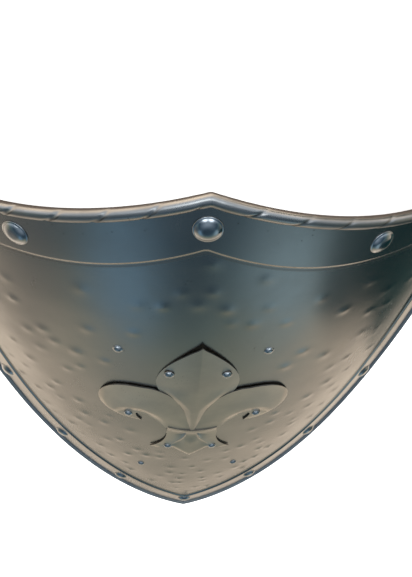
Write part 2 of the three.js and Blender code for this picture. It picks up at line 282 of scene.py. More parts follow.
def makeSteel(name, settings):
    material = bpy.data.materials.new(name)
    material.use_nodes = True
    tree = material.node_tree
    shader = tree.nodes["Principled BSDF"]
    shader.inputs["Metallic"].default_value = 1.0
    finish = addNode(tree, "ShaderNodeGroup", node_tree=handledSteel)
    for key in ("Cloud", "Grain", "Scratch", "Speck"):
        finish.inputs[key].default_value = settings[key.lower()]
    # The mask read here is painted shade: it darkens the steel, and roughens it a little, under the top
    # roll, along its notches, just inside the border line and round the feet of the heads. The same dark
    # colour also marks the pin specks, which are real.
    paintedShade = addNode(tree, "ShaderNodeAttribute", attribute_name="painted_shade").outputs["Fac"]
    base = mixedColour(tree, finish.outputs["Cloud"], settings["dark"], settings["light"])
    shadeShare = maths(tree, "MULTIPLY", paintedShade, settings["shadeStrength"], clamp=True)
    shaded = mixedColour(tree, shadeShare, base, settings["soilAndShadeColour"])
    speckShare = maths(tree, "MULTIPLY", finish.outputs["Speck"], 0.6)
    specked = mixedColour(tree, speckShare, shaded, settings["soilAndShadeColour"])
    tree.links.new(specked, shader.inputs["Base Color"])
    spread = settings["roughSpread"]
    rough = ranged(tree, finish.outputs["Cloud"], 0.0, 1.0, settings["rough"] + spread, settings["rough"])
    rough = maths(tree, "ADD", rough, maths(tree, "MULTIPLY", finish.outputs["Grain"], spread * 0.5))
    rough = maths(tree, "ADD", rough, maths(tree, "MULTIPLY", paintedShade, 0.15))
    tree.links.new(rough, shader.inputs["Roughness"])
    relief = {"Height": finish.outputs["Height"], "Strength": settings["bump"], "Distance": 0.00012}
    bump = addNode(tree, "ShaderNodeBump", relief)
    tree.links.new(bump.outputs[0], shader.inputs["Normal"])
    return material


sheetSteel = makeSteel("sheet steel", dict(
    cloud=9.0, grain=700.0, scratch=40.0, speck=220.0, bump=0.1,
    dark=(0.53, 0.515, 0.49), light=(0.60, 0.585, 0.56),
    shadeStrength=0.7, soilAndShadeColour=(0.16, 0.14, 0.12), rough=0.2, roughSpread=0.06,
))
rolledSteel = makeSteel("rolled edge steel", dict(
    cloud=22.0, grain=900.0, scratch=60.0, speck=300.0, bump=0.12,
    dark=(0.42, 0.41, 0.40), light=(0.60, 0.585, 0.57),
    shadeStrength=0.9, soilAndShadeColour=(0.07, 0.055, 0.04), rough=0.24, roughSpread=0.1,
))
# The side rolls are darker and bluer than the sheet: a painted reflection of the blue-grey room they face
rimSteel = makeSteel("rim steel, painted reflection", dict(
    cloud=22.0, grain=900.0, scratch=60.0, speck=300.0, bump=0.2,
    dark=(0.40, 0.43, 0.46), light=(0.52, 0.55, 0.58),
    shadeStrength=0.9, soilAndShadeColour=(0.07, 0.06, 0.05), rough=0.48, roughSpread=0.1,
))
# Near black, unlike real steel: painted shade on the plate's edges, standing in for the dark gap under the
# fleur's raised edges
plateEdgeShade = makeSteel("plate edge steel, painted shade", dict(
    cloud=60.0, grain=900.0, scratch=60.0, speck=300.0, bump=0.3,
    dark=(0.09, 0.085, 0.08), light=(0.2, 0.19, 0.18),
    shadeStrength=0.5, soilAndShadeColour=(0.03, 0.025, 0.02), rough=0.4, roughSpread=0.1,
))
plateSteel = makeSteel("pressed plate steel", dict(
    cloud=26.0, grain=900.0, scratch=60.0, speck=300.0, bump=0.1,
    dark=(0.69, 0.645, 0.57), light=(0.8, 0.745, 0.66),
    shadeStrength=0.8, soilAndShadeColour=(0.12, 0.1, 0.08), rough=0.31, roughSpread=0.05,
))
headSteel = makeSteel("polished head steel", dict(
    cloud=90.0, grain=2500.0, scratch=200.0, speck=900.0, bump=0.2,
    dark=(0.56, 0.58, 0.60), light=(0.74, 0.76, 0.78),
    shadeStrength=1.0, soilAndShadeColour=(0.04, 0.035, 0.03), rough=0.13, roughSpread=0.06,
))


# Grained leather with fine cracks and rubbed patches
def makeLeather(name, dark, light, scale):
    material = bpy.data.materials.new(name)
    material.use_nodes = True
    tree = material.node_tree
    shader = tree.nodes["Principled BSDF"]
    place = addNode(tree, "ShaderNodeTexCoord").outputs["Object"]
    cracks = {"Vector": place, "Scale": scale}
    cells = addNode(tree, "ShaderNodeTexVoronoi", cracks, feature="DISTANCE_TO_EDGE")
    pores = ranged(tree, cells.outputs["Distance"], 0.0, 0.12)
    cloud = addNode(tree, "ShaderNodeTexNoise", {"Vector": place, "Scale": scale * 0.05, "Detail": 6.0})
    rubbed = ranged(tree, cloud.outputs["Fac"], 0.35, 0.7)
    base = mixedColour(tree, rubbed, dark, light)
    inPores = maths(tree, "MULTIPLY", maths(tree, "SUBTRACT", 1.0, pores), 0.5)
    creased = mixedColour(tree, inPores, base, tuple(part * 0.4 for part in dark))
    tree.links.new(creased, shader.inputs["Base Color"])
    tree.links.new(ranged(tree, cloud.outputs["Fac"], 0.3, 0.7, 0.72, 0.48), shader.inputs["Roughness"])
    bump = addNode(tree, "ShaderNodeBump", {"Height": pores, "Strength": 0.5, "Distance": 0.0003})
    tree.links.new(bump.outputs[0], shader.inputs["Normal"])
    return material


strapLeather = makeLeather("strap leather", (0.05, 0.024, 0.012), (0.15, 0.075, 0.035), 900.0)
waxedThread = makeLeather("waxed thread", (0.32, 0.25, 0.16), (0.5, 0.42, 0.3), 3000.0)
print("materials ready")


# The sheet, hollowed, hammered and set down along a line inside its border

sheet = dict(
    borderInset=44.2,
    borderDrop=43,
    borderArcDepth=26.5,
    lineWall=2.6,
    topWall=1.7,
    topStep=0.55,
    borderRise=0.7,
    borderFall=3.3,
    fieldDrop=0.75,
    fieldFade=52,
    moat=0.12,
    moatWidth=9,
    borderReach=38,
    borderFallPower=1.3,
    wallRounding=0.45,
    cornerBlend=8,
    topSlant=0.95,
    rollStart=5.5,
    sideStart=3.0,
    borderStep=4.2,
    fieldHalfWidth=165,
    columnStep=2.45,
    rowStep=2.7,
    # a thin line of painted shade, just inside the border line
    shadeLineInset=2.2,
    shadeLineReach=1.2,
    shadeLineShare=0.6,
    waveHeight=0.5,
    waveLength=75,
    fineWaveHeight=0.07,
    fineWaveLength=30,
)
bumps = dict(
    seed=11,
    pitch=27,
    rowShare=0.87,
    firstRow=-6,
    jitter=10,
    radius=(8.5, 14),
    height=(0.5, 1.2),
    lowerShare=0.7,
    lowerOver=(-300, -100),
    skipped=0.35,
    skippedOver=(-300, -80),
    margin=9,
    widest=232,
    sharpness=2.8,
)
keepClear = [  # discs, x, y and radius, round the fleur and the strap rivets, with no hammer marks
    (0, -185, 52), (0, -240, 50), (60, -238, 45), (-60, -238, 45), (0, -300, 40), (0, -335, 30),
    (30, -330, 22), (-30, -330, 22),
    (58, -154, 12), (-62.6, -154, 12), (57, -408.5, 10), (-57, -408.5, 10),
]

edgeCount = 1500
edgeSamples = [sidePoint(i / edgeCount, 0, 0) for i in range(edgeCount + 1)]
edgeTree = kdtree.KDTree(len(edgeSamples))
for index, sample in enumerate(edgeSamples):
    edgeTree.insert(sample, index)
edgeTree.balance()


# The line along the top keeps to a plain hollow arc of its own
def borderArc(x):
    along = x / face["scallopSpan"]
    return -4 * sheet["borderArcDepth"] * along * (1 - along)


# Millimetres inside the border line, less than zero on the border itself
def insideLine(x, y):
    fromSide = edgeTree.find(onFace(abs(x), y))[2] - sheet["borderInset"]
    fromTop = (borderArc(abs(x)) - y - sheet["borderDrop"]) * sheet["topSlant"]
    return fromSide, fromTop


# The border swells up to the line and falls to the side rolls, and the field is set down inside
def lineHeight(fromSide, fromTop):
    inside = min(fromSide, fromTop)
    byTop = smooth(-sheet["cornerBlend"], sheet["cornerBlend"], fromSide - fromTop)
    wall = mix(sheet["lineWall"], sheet["topWall"], byTop)
    half, reach = wall / 2, sheet["borderReach"]
    upper = sheet["borderRise"] * (1 - smooth(half, reach, -fromTop))
    upper -= sheet["borderFall"] * (max(0, -fromSide - half) / reach) ** sheet["borderFallPower"]
    lower = -sheet["fieldDrop"] * (1 - smooth(half, sheet["fieldFade"], inside))
    lower -= sheet["moat"] * (1 - smooth(half, sheet["moatWidth"], inside))
    t = min(max((inside + half) / wall, 0), 1)
    down = mix(t, smooth(0, 1, t), sheet["wallRounding"])
    return mix(upper, lower, down) * mix(1, sheet["topStep"], byTop)


def bumpPlaces():
    rng = random.Random(bumps["seed"])
    places = []
    pitch, rowShare = bumps["pitch"], bumps["rowShare"]
    for row in range(int(face["length"] / (pitch * rowShare)) + 1):
        for column in range(-9, 10):
            x = (column + (row % 2) * 0.5) * pitch + rng.uniform(-1, 1) * bumps["jitter"]
            y = -row * pitch * rowShare + bumps["firstRow"] + rng.uniform(-1, 1) * bumps["jitter"]
            radius = rng.uniform(*bumps["radius"])
            lowered = mix(1, bumps["lowerShare"], smooth(*bumps["lowerOver"], y))
            height = rng.uniform(*bumps["height"]) * lowered
            if abs(x) > bumps["widest"] or min(insideLine(x, y)) < bumps["margin"]:
                continue
            if rng.random() < bumps["skipped"] * smooth(*bumps["skippedOver"], y):
                continue
            if any(math.hypot(x - cx, y - cy) < r + radius * 0.6 for cx, cy, r in keepClear):
                continue
            places.append((x, y, radius, height))
    return places


bumpList = bumpPlaces()
bumpTree = kdtree.KDTree(len(bumpList))
for index, mark in enumerate(bumpList):
    bumpTree.insert((mark[0], mark[1], 0), index)
bumpTree.balance()


# A hammer mark made from behind: a sharp peak with a wide soft skirt
def bumpHeight(x, y):
    total = 0.0
    for _, index, away in bumpTree.find_range((x, y, 0), bumps["radius"][1]):
        _, _, radius, height = bumpList[index]
        total += height * max(0, 1 - away / radius) ** bumps["sharpness"]
    return total


# How far the sheet stands off the plain face, and how much painted shade darkens it in a thin line just
# inside the border line
def sheetHeight(x, y):
    fromSide, fromTop = insideLine(x, y)
    inside = min(fromSide, fromTop)
    inField = smooth(0, 40, inside)
    wave = noise.noise(Vector((x, y, 0)) / sheet["waveLength"]) * sheet["waveHeight"]
    fine = noise.noise(Vector((x, y, 50)) / sheet["fineWaveLength"]) * sheet["fineWaveHeight"]
    height = lineHeight(fromSide, fromTop) + wave * mix(0.3, 1, inField) + fine * inField
    height += bumpHeight(x, y)
    # Painted shade: a thin dark line just inside the border line, where the field meets the wall
    painted_shade = max(0, 1 - abs(inside - sheet["shadeLineInset"]) / sheet["shadeLineReach"]) * sheet["shadeLineShare"]
    return height, painted_shade


def steps(start, end, step):
    count = max(1, math.ceil(abs(end - start) / step))
    return [start + (end - start) * i / count for i in range(count)]


def makeSheet():
    line = sheet["borderInset"]
    near = [-2.2, -1.3, -0.85, -0.42, 0, 0.42, 0.85, 1.3, 2.2, 4.2]
    insets = steps(sheet["sideStart"], line + near[0], sheet["borderStep"])
    insets += [line + n for n in near] + [line + 7]
    fieldCount = round(2 * sheet["fieldHalfWidth"] / sheet["columnStep"])
    columns = [(1, i) for i in insets]
    columns += [(0, 1 - 2 * i / fieldCount) for i in range(1, fieldCount)]
    columns += [(-1, i) for i in reversed(insets)]

    depths = steps(sheet["rollStart"], sheet["borderDrop"] + near[0], 3.0)
    depths += [sheet["borderDrop"] + n / sheet["topSlant"] for n in near]
    fine = 4000
    edge = [sideEdge(i / fine)[0] for i in range(fine + 1)]
    rows = []
    for depth in depths:
        rows.append(next(i for i, p in enumerate(edge) if -p.y >= depth) / fine)
    start = round(rows[-1] * fine)
    travelled, last = 0.0, edge[start]
    for i in range(start + 1, fine + 1):
        travelled += (edge[i] - last).length
        last = edge[i]
        if travelled >= sheet["rowStep"]:
            travelled = 0.0
            rows.append(i / fine)
    rows[-1] = 1.0
    innermost = insets[-1]

    # Columns near a side keep to it, the rest share out the field, and rows bend with the top
    def place(column, row):
        t = rows[row]
        side, value = columns[column]
        edge = sideEdge(t)[0]
        inset = value if side else innermost
        p = sidePoint(t, inset, 0)
        if p.x < 0:
            share = edge.x / max(edge.x - p.x, 1e-6)
            inset *= share
            p = sidePoint(t, inset, 0)
            p.x = 0
        lift = (p.y - sidePoint(t, 0, 0).y) * smooth(50, 150, -edge.y)
        depth = max(0, -edge.y - sheet["borderDrop"] - 4)
        fade = (1 - depth / (face["length"] - sheet["borderDrop"] - 4)) ** 3
        x = p.x * (side if side else value)
        arc = mix(topArc(abs(x)), borderArc(abs(x)), smooth(20, sheet["borderDrop"] - 3, -edge.y))
        y = edge.y + lift + arc * fade
        return Vector((x, y, 0))

    bm = gridMesh(len(columns) - 1, len(rows) - 1, place)
    bmesh.ops.remove_doubles(bm, verts=bm.verts, dist=0.02)
    bmesh.ops.dissolve_degenerate(bm, edges=bm.edges, dist=0.005)
    shadeLayer = bm.verts.layers.float.new("painted_shade")
    for v in bm.verts:
        height, painted_shade = sheetHeight(v.co.x, v.co.y)
        v[shadeLayer] = painted_shade
        v.co = onFace(v.co.x, v.co.y, height)
    bmesh.ops.recalc_face_normals(bm, faces=bm.faces)
    if sum(f.normal.z for f in bm.faces) < 0:
        bmesh.ops.reverse_faces(bm, faces=bm.faces)
    bmesh.ops.solidify(bm, geom=bm.faces[:], thickness=face["thickness"])
    return bm


finishPiece(makeSheet(), "shield_sheet", sheetSteel, ["shell"])
print("sheet hammered,", len(bumpList), "marks")


# The rolled edges

topRoll = dict(
    radius=4.3,
    drop=5.5,
    rise=2.7,
    overlap=4,  # how far each half runs past the middle before the mitre is cut
    end=231,
    around=28,
    step=1.3,
    notchPitch=28.3,
    notchShift=4,
    notchDepth=0.8,
    notchWidth=0.95,
    notchSlant=6.5,
    swell=0.12,
    peakReach=7,
    peakRubbed=4,  # times that the mitre is smoothed
)
sideRoll = dict(
    radius=2.6,
    inset=2.6,
    sink=2.2,
    start=0.014,
    end=1.012,
    length=680,
    around=20,
    step=2.6,
    unevenness=0.12,
)


# A tube swept along centres, whose sections may change round and along
def sweep(stations, around, section):
    frames = []
    for i, (centre, out) in enumerate(stations):
        ahead = stations[min(i + 1, len(stations) - 1)][0]
        behind = stations[max(i - 1, 0)][0]
        across = (ahead - behind).cross(out).normalized()
        frames.append((centre, out, across))

    def place(column, row):
        centre, out, across = frames[row]
        angle = 2 * math.pi * (column % around) / around
        radius = section(angle, row)
        return centre + (out * math.sin(angle) + across * math.cos(angle)) * radius

    return gridMesh(around, len(stations) - 1, place)


# The two halves are cut on the centre line, joined there, and their outer ends are closed
def mitred(halves):
    for half, side in halves:
        bmesh.ops.remove_doubles(half, verts=half.verts, dist=0.001)
        geometry = half.verts[:] + half.edges[:] + half.faces[:]
        bmesh.ops.bisect_plane(
            half, geom=geometry, dist=0.0001, plane_co=(0, 0, 0), plane_no=(side, 0, 0), clear_inner=True
        )
    whole = joined([half for half, _ in halves])
    bmesh.ops.remove_doubles(whole, verts=whole.verts, dist=0.05)
    ends = [e for e in whole.edges if e.is_boundary and abs(e.verts[0].co.x) > 1]
    bmesh.ops.holes_fill(whole, edges=ends, sides=0)
    bmesh.ops.recalc_face_normals(whole, faces=whole.faces)
    return whole


def topRollHalf(side):
    overlap = topRoll["overlap"]
    count = round((topRoll["end"] + overlap) / topRoll["step"])
    xs = [-overlap + (topRoll["end"] + overlap) * i / count for i in range(count + 1)]
    stations = []
    for x in xs:
        centre = onFace(side * x, topArc(x) - topRoll["drop"], topRoll["rise"])
        stations.append((centre, faceNormal(side * x, topArc(x))))

    def section(angle, row):
        x = side * xs[row]
        upward = angle if side < 0 else math.pi - angle
        turn = math.cos(upward)
        slant = x + topRoll["notchShift"] - turn * topRoll["notchSlant"]
        phase = slant / topRoll["notchPitch"]
        away = abs(phase - round(phase)) * topRoll["notchPitch"]
        front = smooth(0.1, 0.6, math.sin(angle)) * smooth(2, 5, abs(x))
        notch = topRoll["notchDepth"] * max(0, 1 - away / (2 * topRoll["notchWidth"])) ** 1.5
        swell = topRoll["swell"] * math.sin(math.pi * away / topRoll["notchPitch"])
        return topRoll["radius"] - 0.15 + (swell - notch) * front

    return sweep(stations, topRoll["around"], section)


def sideRollHalf(side):
    count = round(sideRoll["length"] / sideRoll["step"])
    ts = [mix(sideRoll["start"], sideRoll["end"], i / count) for i in range(count + 1)]
    stations = []
    for t in ts:
        centre = sidePoint(t, sideRoll["inset"], -sideRoll["sink"])
        out = faceNormal(centre.x, centre.y)
        centre.x *= side
        out.x *= side
        stations.append((centre, out))

    def section(angle, row):
        place = Vector((row * 0.11 + side * 40, math.cos(angle) * 0.6, math.sin(angle) * 0.6))
        return sideRoll["radius"] + sideRoll["unevenness"] * (noise.noise(place) - 0.3)

    return sweep(stations, sideRoll["around"], section)


def addPaintedShade(bm, amount):
    layer = bm.verts.layers.float.new("painted_shade")
    for v in bm.verts:
        v[layer] = amount(v.co)


def makeTopRoll():
    bm = mitred([(topRollHalf(1), 1), (topRollHalf(-1), -1)])
    peak = [v for v in bm.verts if abs(v.co.x) < topRoll["peakReach"]]
    for _ in range(topRoll["peakRubbed"]):
        bmesh.ops.smooth_vert(bm, verts=peak, factor=0.5, use_axis_x=True, use_axis_y=True, use_axis_z=True)

    # Painted shade: darker over the lower half of the roll and the crease beneath it, and along the slanting
    # notch lines
    def rollShade(p):
        above = p.y - (topArc(min(abs(p.x), 238)) - topRoll["drop"])
        slant = p.x + topRoll["notchShift"] - above / topRoll["radius"] * topRoll["notchSlant"]
        phase = slant / topRoll["notchPitch"]
        away = abs(phase - round(phase)) * topRoll["notchPitch"]
        notch = max(0, 1 - away / 1.3) * smooth(3.6, 2, abs(above + 0.4)) * smooth(2, 5, abs(p.x))
        return max(smooth(1.5, 4, -above) * 0.8, notch)

    addPaintedShade(bm, rollShade)
    return bm


finishPiece(makeTopRoll(), "top_roll", rolledSteel, ["shell"], sharp=60)
sides = mitred([(sideRollHalf(1), 1), (sideRollHalf(-1), -1)])
addPaintedShade(sides, lambda p: 0.0)
finishPiece(sides, "side_rolls", rimSteel, ["shell"], sharp=60)
print("edges rolled")


# The fleur-de-lis, a pressed plate that stands off the field

fleur = dict(
    thickness=1.2,
    lean=0.017,
    pivotY=-345,
    tipY=-140,
    neckY=-287,
    tipHeight=3.5,
    ridge=4.0,
    neckHeight=3.8,
    fall=0.085,
    roll=11,
    foot=1.3,
    halfWidths=[0, 9.4, 18.4, 26, 31.6, 35, 36, 34, 28.4, 22, 16.8, 12.9, 10.2, 8.3, 6.7, 5.6],
    outer=[(4, -262), (19, -224), (34.7, -210.5), (49, -208.5), (63, -209), (76, -214), (86, -226),
           (90.4, -240.5), (88.4, -255.5), (80.3, -267.5), (68, -275), (51, -277)],
    inner=[(3, -289), (24.5, -283.5), (33, -272.5), (40.5, -266.5), (46.5, -262.8), (51, -261.2),
           (54, -261.2), (55.5, -262.5), (56.2, -265), (55.6, -268), (54, -272), (51.2, -276)],
    rollShare=[0.82, 0.82, 0.82, 0.8, 0.77, 0.77, 0.73, 0.62, 0.44, 0.22, 0.12, 0.1],
    bedGap=0.06,
    cutFacing=0.45,  # faces turned further from the front than this are cut edges
    rollWidth=10,
    lipWidth=6.5,
    lipHeight=0.9,
    bodyHeight=(2.5, 3.2),
    dish=0.15,
    flangeHeight=(1.2, 1.4),
    joinHeight=3.5,
    tails=[(0, -357.5), (6.5, -350.5), (12.5, -344), (19.5, -337), (27, -337.5), (35, -341), (43.5, -339.3)],
)


def onFleur(x, y, height):
    c, s = math.cos(fleur["lean"]), math.sin(fleur["lean"])
    dy = y - fleur["pivotY"]
    return onFace(x * c + dy * s, fleur["pivotY"] - x * s + dy * c, height)


# 0 at the lip of a roll and 1 once it is over
def rolledOver(distance, width):
    return 1 - (1 - min(1, max(0, distance) / max(0.01, width))) ** 1.3


# u runs from -1 to 1 across the piece, v from 0 to 1 down it
def middlePetal(u, v):
    halfWidth = through([(w, 0) for w in fleur["halfWidths"]], v).x
    across = mix(abs(u), abs(u) ** 0.75, smooth(0.4, 0.5, v))
    ridge = mix(fleur["tipHeight"], fleur["ridge"], smooth(0, 0.35, v))
    ridge = mix(ridge, fleur["neckHeight"], smooth(0.75, 1, v))
    softened = 1 - 0.65 * smooth(0.42, 0.62, v)
    facet = ridge - fleur["fall"] * softened * across * halfWidth
    fromEdge = (1 - across) * halfWidth
    width = min(fleur["roll"], halfWidth * 0.75)
    rolled = mix(min(fleur["foot"], facet), facet, rolledOver(fromEdge, width))
    height = mix(facet, rolled, smooth(0.42, 0.54, v))
    return math.copysign(across, u) * halfWidth, mix(fleur["tipY"], fleur["neckY"], v), height


# A dished body from the outer edge to a line where it rolls down on to a flange
def sidePetal(across, v):
    outer = through(fleur["outer"], v)
    inner = through(fleur["inner"], v)
    roll = through([(b, 0) for b in fleur["rollShare"]], v).x
    spread = smooth(0, 1, abs(2 * across - 1))
    share = roll * (1 - spread) if across < 0.5 else roll + (1 - roll) * spread
    p = outer.lerp(inner, share)
    ruling = (inner - outer).length
    width = min(fleur["rollWidth"], ruling * roll * 0.6)
    along = min(1, share / max(roll, 0.01))
    dished = fleur["dish"] * math.sin(math.pi * along) ** 2
    body = mix(*fleur["bodyHeight"], smooth(0, 0.9, along)) - dished
    lip = smooth(0.45, 0.62, v)
    pastRoll = (share - roll) / max(0.01, 1 - roll)
    flange = mix(*fleur["flangeHeight"], smooth(0.3, 1, pastRoll))
    flange = mix(fleur["joinHeight"], flange, smooth(0.05, 0.32, v))
    body = mix(flange, body, smooth(3, 14, ruling * roll))
    height = mix(flange, body, rolledOver(ruling * (roll - share) + width * 0.8, width))
    lipWidth = min(fleur["lipWidth"], ruling * 0.55)
    lipped = mix(fleur["lipHeight"], height, rolledOver(ruling * share, lipWidth))
    return p.x, p.y, mix(height, lipped, lip)


collarShape = dict(halfWidth=(24.2, 26.2), top=-285, topSag=5, bottom=-301, bottomSag=2,
                   height=(4.3, 2.2), endDrop=0.3, crest=(0.3, 0.14))


# A round moulding that sags between its ends, over a flat band
def collar(u, v):
    halfWidth = mix(*collarShape["halfWidth"], v)
    top = collarShape["top"] + collarShape["topSag"] * u * u
    bottom = collarShape["bottom"] + collarShape["bottomSag"] * u * u
    crest = mix(*collarShape["crest"], u * u)
    height = mix(*collarShape["height"], smooth(crest - 0.1, crest + 0.5, v))
    return u * halfWidth, mix(top, bottom, v), height - collarShape["endDrop"] * u * u


footShape = dict(halfWidth=25.5, flare=2.8, top=-296, topSag=3, base=1.8, scoop=1.9, blade=2.5, ridge=1.0)


# Two scoops one below the other: a rib divides them, and the lower one is a blade with a ridge
def foot(u, v):
    across = abs(u)
    edge = through(fleur["tails"], across)
    x = math.copysign(mix(across * footShape["halfWidth"], edge.x, v ** footShape["flare"]), u)
    y = mix(footShape["top"] + footShape["topSag"] * across * across, edge.y, v)
    ribAt = min(max(1.6 * across - 0.36, 0.0), 1.0)
    if v < ribAt:
        scoop = footShape["scoop"] * (v / ribAt) * (1 - 0.75 * smooth(0.5, 1, across))
        scoop *= mix(1, smooth(0, 0.08, 1 - v), smooth(0.86, 0.95, ribAt))
    else:
        down = smooth(0, 0.17, v - ribAt)
        rise = ((v - ribAt) / (1 - ribAt + 0.01)) ** 1.2
        crest = footShape["scoop"] * smooth(0.15, 0.3, across) if ribAt > 0 else 0
        scoop = mix(crest, footShape["blade"] * rise, down) * rolledOver(1 - v, 0.17)
    ridge = footShape["ridge"] * max(0, 1 - across / 0.42) * smooth(0.1, 0.4, v) * rolledOver(1 - v, 0.08)
    return x, y, footShape["base"] + scoop + ridge


def pressing(columns, rows, shape):
    def place(column, row):
        return onFleur(*shape(column / columns * 2 - 1, row / rows))

    bm = gridMesh(columns, rows, place)
    bmesh.ops.remove_doubles(bm, verts=bm.verts, dist=0.02)
    bmesh.ops.dissolve_degenerate(bm, edges=bm.edges, dist=0.005)
    bmesh.ops.recalc_face_normals(bm, faces=bm.faces)
    if sum(f.normal.z for f in bm.faces) < 0:
        bmesh.ops.reverse_faces(bm, faces=bm.faces)
    bmesh.ops.solidify(bm, geom=bm.faces[:], thickness=fleur["thickness"])
    bm.normal_update()
    for f in bm.faces:
        middle = f.calc_center_median()
        upright = abs(f.normal.dot(faceNormal(middle.x, middle.y)))
        f.material_index = 1 if upright < fleur["cutFacing"] else 0
    return bm


# Lifts whatever would sink into the sheet, so that the plate lies on it
def bedOnSheet(bm):
    for v in bm.verts:
        x, y = v.co.x, v.co.y
        for _ in range(2):
            normal = faceNormal(x, y)
            height = (v.co - onFace(x, y)).dot(normal)
            x, y = v.co.x - normal.x * height, v.co.y - normal.y * height
        least = sheetHeight(x, y)[0] + fleur["bedGap"]
        if height < least:
            v.co += normal * (least - height)


def mirroredShape(u, v):
    x, y, height = sidePetal(0.5 + u / 2, v)
    return -x, y, height


def makeFleur():
    parts = [
        pressing(56, 84, middlePetal),
        pressing(56, 110, lambda u, v: sidePetal(0.5 - u / 2, v)),
        pressing(56, 110, mirroredShape),
        pressing(44, 34, collar),
        pressing(112, 44, foot),
    ]
    bm = joined(parts)
    bedOnSheet(bm)
    addPaintedShade(bm, lambda p: 0.0)
    return bm


finishPiece(
    makeFleur(), "fleur", plateSteel, ["fleur_de_lis"], sharp=50, cutEdge=plateEdgeShade
)
print("fleur pressed")


# Studs and rivets

head = dict(
    around=40,
    rings=14,
    studRadius=9.2,
    studHeight=2.9,
    studShank=2.5,
    studLift=0.1,
    rivetRadius=4.4,
    rivetHeight=2.1,
    rivetShank=1.8,
    rivetLift=0.05,
    plateSeats=dict(petal=2.9, hook=1.6, foot=2.9),
    flange=0.92,
    skirt=0.4,
    domePower=3,
    backRatio=1.75,
    behindSheet=0.75,
    behindStrap=6.5,
)


# Half profile of a domed head with a soft foot, its shank, and a hammered head behind
def headProfile(radius, height, shank, grip):
    flange = radius * head["flange"]
    front = [(0, height)]
    skirt = head["skirt"]
    for i in range(1, head["rings"] + 1):
        r = i / head["rings"]
        front.append((flange * r, skirt + (height - skirt) * (1 - r ** head["domePower"])))
    base = [
        (mix(flange, radius, 0.5), 0.38), (radius * 0.99, 0.2), (radius, -0.1),
        (radius * 0.99, -0.6), (shank, -0.6),
    ]
    back = shank * head["backRatio"]
    rear = [
        (shank, -grip), (back, -grip), (back * 0.97, -grip - shank * 0.28),
        (back * 0.72, -grip - shank * 0.6), (0, -grip - shank * 0.75),
    ]
    return front + base + rear


def addHead(x, y, seat, radius, height, shank, grip):
    bm = bmesh.new()
    profile = headProfile(radius, height, shank, seat + grip)
    verts = [bm.verts.new((r, 0, z)) for r, z in profile]
    edges = [bm.edges.new(pair) for pair in zip(verts, verts[1:])]
    bmesh.ops.spin(
        bm, geom=verts + edges, angle=2 * math.pi, steps=head["around"], axis=(0, 0, 1), use_merge=True
    )
    bmesh.ops.remove_doubles(bm, verts=bm.verts, dist=0.001)
    bmesh.ops.recalc_face_normals(bm, faces=bm.faces)
    # Painted shade: the head darkens round its foot where it meets the surface, and its shank and the head
    # behind are dark as well
    layer = bm.verts.layers.float.new("painted_shade")
    for v in bm.verts:
        v[layer] = (1 - smooth(-0.1, 0.3, v.co.z)) * 0.8
    turn = Vector((0, 0, 1)).rotation_difference(faceNormal(x, y)).to_matrix().to_4x4()
    bm.transform(Matrix.Translation(onFace(x, y, seat)) @ turn)
    return bm


def nodeCentre(name):
    low, high = (Vector(corner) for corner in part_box(name))
    return toRest.inverted() @ ((low + high) / 2)


# Each head sits where its CAD node does
def makeHeads():
    for name in sorted(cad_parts):
        stud = name.startswith("stud_")
        if not stud and "_rivet_" not in name:
            continue
        centre = nodeCentre(name)
        x, y = centre.x, centre.y
        for _ in range(3):
            offset = (centre - onFace(x, y)).dot(faceNormal(x, y))
            p = centre - faceNormal(x, y) * offset
            x, y = p.x, p.y
        kind = "stud" if stud else "rivet"
        grip = face["thickness"] + head["behindStrap" if "strap" in name else "behindSheet"]
        if name.startswith("fleur_"):
            seat = head["plateSeats"][name.split("_")[1]]
        else:
            seat = sheetHeight(x, y)[0] + head[kind + "Lift"]
        radius, height, shank = (head[kind + part] for part in ("Radius", "Height", "Shank"))
        bm = addHead(x, y, seat, radius, height, shank, grip)
        finishPiece(bm, name + "_head", headSteel, [name], sharp=50)


makeHeads()
print("studs and rivets set")


# The straps behind

straps = [
    dict(name="arm_strap", x=60.3, shift=-2.3, y=-155.8, width=36, drop=56, bow=46, thickness=4, seat=1.9),
    dict(name="hand_strap", x=57, shift=0, y=-409.5, width=28, drop=43, bow=42, thickness=4, seat=1.9),
]
stitch = dict(pitch=6.2, length=4.0, radius=0.45, inset=3.4, sunk=0.2, proud=0.12, groove=0.25)


def strapPath(strap):
    seat = -face["thickness"] - strap["seat"] - strap["thickness"] / 2
    x, y, shift, bow, drop = (strap[k] for k in ("x", "y", "shift", "bow", "drop"))
    centreZ = onFace(0, y, seat).z

    def half(side):
        points = [onFace(side * (x + beyond) + shift, y, seat) for beyond in (15, 5, -5)]
        points.append(onFace(side * (x - 11) + shift, y, seat - 2.5))
        points.append(Vector((side * (bow - 2) + shift, y, centreZ - 0.42 * drop)))
        points.append(Vector((side * bow * 0.62 + shift, y, centreZ - 0.86 * drop)))
        return points

    return half(1) + [Vector((shift, y, centreZ - drop))] + half(-1)[::-1]


strapSteps = 120


# The cross-section of a strap: flat faces with points along them, and rounded corners
def strapOutline(half, thick):
    corner = 1.3
    across, up = half - corner, thick - corner
    outline = []
    for cx, cz, start in ((across, up, 0), (-across, up, 90), (-across, -up, 180), (across, -up, 270)):
        for k in range(5):
            angle = math.radians(start + k * 22.5)
            outline.append((cx + corner * math.cos(angle), cz + corner * math.sin(angle)))
        if start in (0, 180):
            away = 1 if start == 0 else -1
            shares = (0.75, 0.5, 0.25, 0, -0.25, -0.5, -0.75)
            outline += [(away * across * f, away * thick) for f in shares]
    return outline


